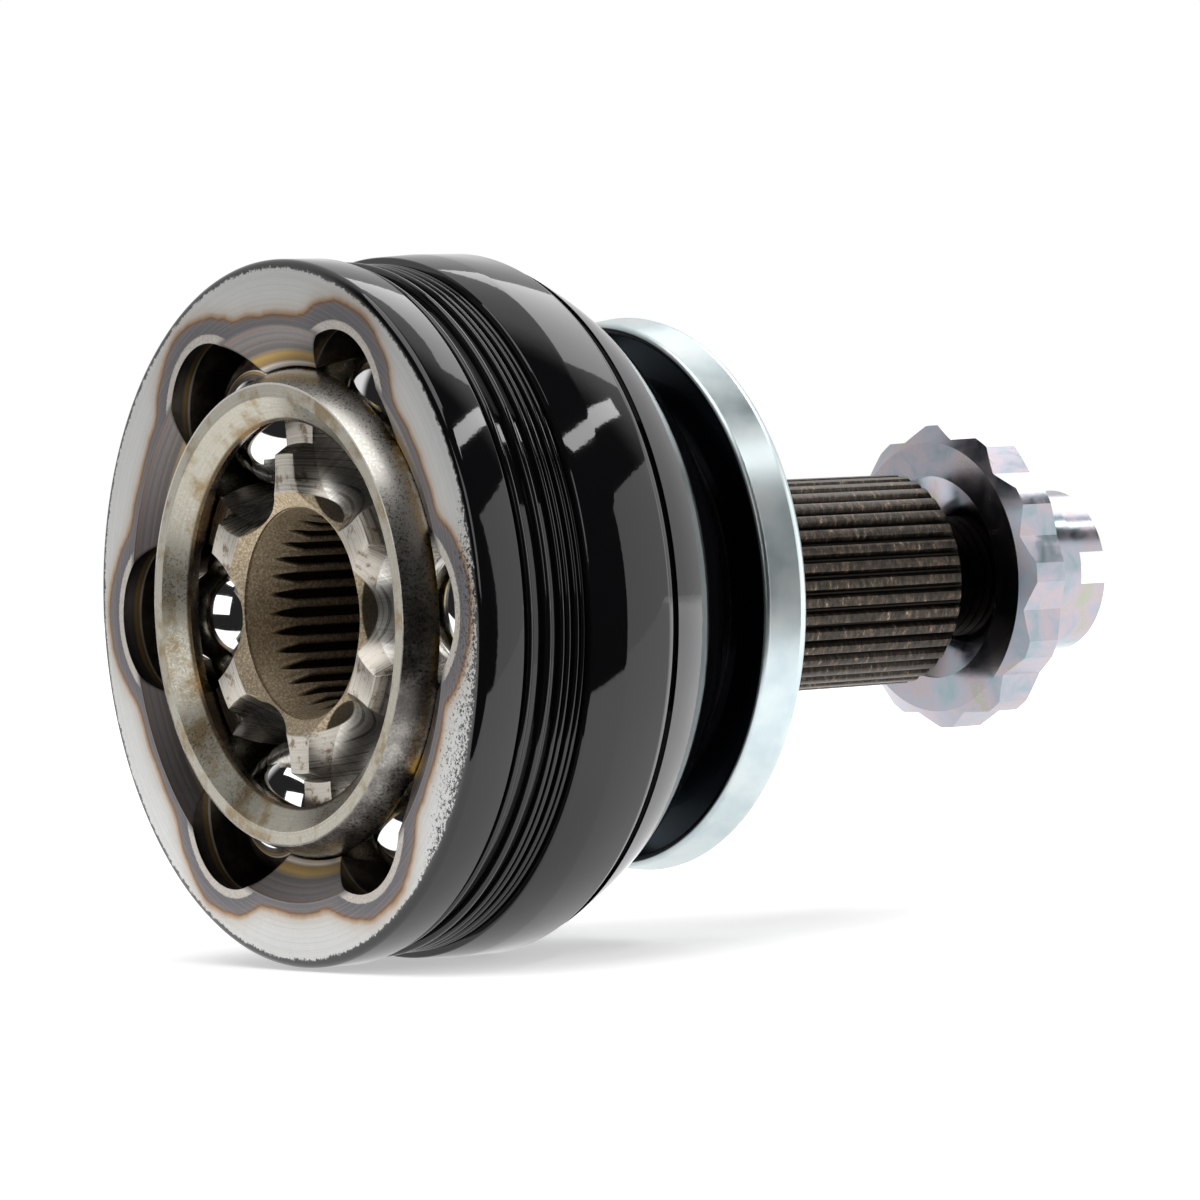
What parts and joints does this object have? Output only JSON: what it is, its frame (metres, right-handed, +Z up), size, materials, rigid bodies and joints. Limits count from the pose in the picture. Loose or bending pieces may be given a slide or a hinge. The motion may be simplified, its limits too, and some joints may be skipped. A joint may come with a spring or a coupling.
{
  "type": "outer cv joint",
  "caption": "Fixed-ball constant velocity joint: grooved bell with splined stub, inner race, cage, balls, dust shield and axle nut.",
  "frame": {"origin": "centre of articulation: the point on the joint axis where the plane of the balls crosses it", "axes": "+X along the joint axis from the bell's mouth to the splined stub, +Z up, one ball on each side along +Y and -Y"},
  "size_m": [0.124, 0.0872, 0.0872],
  "materials": {
    "painted_forging": "gloss",
    "ground_steel": "ground",
    "machined_steel": "machined",
    "ball_steel": "polished",
    "zinc_plate": "satin zinc",
    "zinc_nut": "satin zinc"
  },
  "bodies": {
    "bell": {"outer_race": "painted_forging", "dust_shield": "zinc_plate"},
    "cage": {"cage": "ground_steel"},
    "inner_race": {"inner_race": "machined_steel"},
    "ball_1": {"ball_1": "ball_steel"},
    "ball_2": {"ball_2": "ball_steel"},
    "ball_3": {"ball_3": "ball_steel"},
    "ball_4": {"ball_4": "ball_steel"},
    "ball_5": {"ball_5": "ball_steel"},
    "ball_6": {"ball_6": "ball_steel"},
    "axle_nut": {"axle_nut": "zinc_nut"}
  },
  "joints": [
    {"name": "inner_race_tilt", "type": "hinge", "parent": "bell", "child": "inner_race", "pos_m": [0, 0, 0], "axis": [0, 0, 1], "range_deg": [-45, 45]},
    {"name": "cage_tilt", "type": "hinge", "parent": "bell", "child": "cage", "pos_m": [0, 0, 0], "axis": [0, 0, 1], "range_deg": [-22.5, 22.5]},
    {"name": "ball_1_roll", "type": "hinge", "parent": "bell", "child": "ball_1", "pos_m": [-0.004, 0, 0], "axis": [0, 0, 1], "range_deg": [-22.5, 22.5]},
    {"name": "ball_2_roll", "type": "hinge", "parent": "bell", "child": "ball_2", "pos_m": [-0.004, 0, 0], "axis": [0, -0.866, 0.5], "range_deg": [-11.7, 11.7]},
    {"name": "ball_3_roll", "type": "hinge", "parent": "bell", "child": "ball_3", "pos_m": [-0.004, 0, 0], "axis": [0, 0.866, 0.5], "range_deg": [-11.7, 11.7]},
    {"name": "ball_4_roll", "type": "hinge", "parent": "bell", "child": "ball_4", "pos_m": [-0.004, 0, 0], "axis": [0, 0, 1], "range_deg": [-22.5, 22.5]},
    {"name": "ball_5_roll", "type": "hinge", "parent": "bell", "child": "ball_5", "pos_m": [-0.004, 0, 0], "axis": [0, -0.866, 0.5], "range_deg": [-11.7, 11.7]},
    {"name": "ball_6_roll", "type": "hinge", "parent": "bell", "child": "ball_6", "pos_m": [-0.004, 0, 0], "axis": [0, 0.866, 0.5], "range_deg": [-11.7, 11.7]},
    {"name": "axle_nut_turn", "type": "hinge", "parent": "bell", "child": "axle_nut", "pos_m": [0.095, 0, 0], "axis": [1, 0, 0], "continuous": true}
  ],
  "couplings": [
    {"joint": "cage_tilt", "follows": "inner_race_tilt", "ratio": 0.5},
    {"joint": "ball_1_roll", "follows": "inner_race_tilt", "ratio": 0.5},
    {"joint": "ball_2_roll", "follows": "inner_race_tilt", "ratio": 0.2589},
    {"joint": "ball_3_roll", "follows": "inner_race_tilt", "ratio": 0.2589},
    {"joint": "ball_4_roll", "follows": "inner_race_tilt", "ratio": 0.5},
    {"joint": "ball_5_roll", "follows": "inner_race_tilt", "ratio": 0.2589},
    {"joint": "ball_6_roll", "follows": "inner_race_tilt", "ratio": 0.2589}
  ]
}
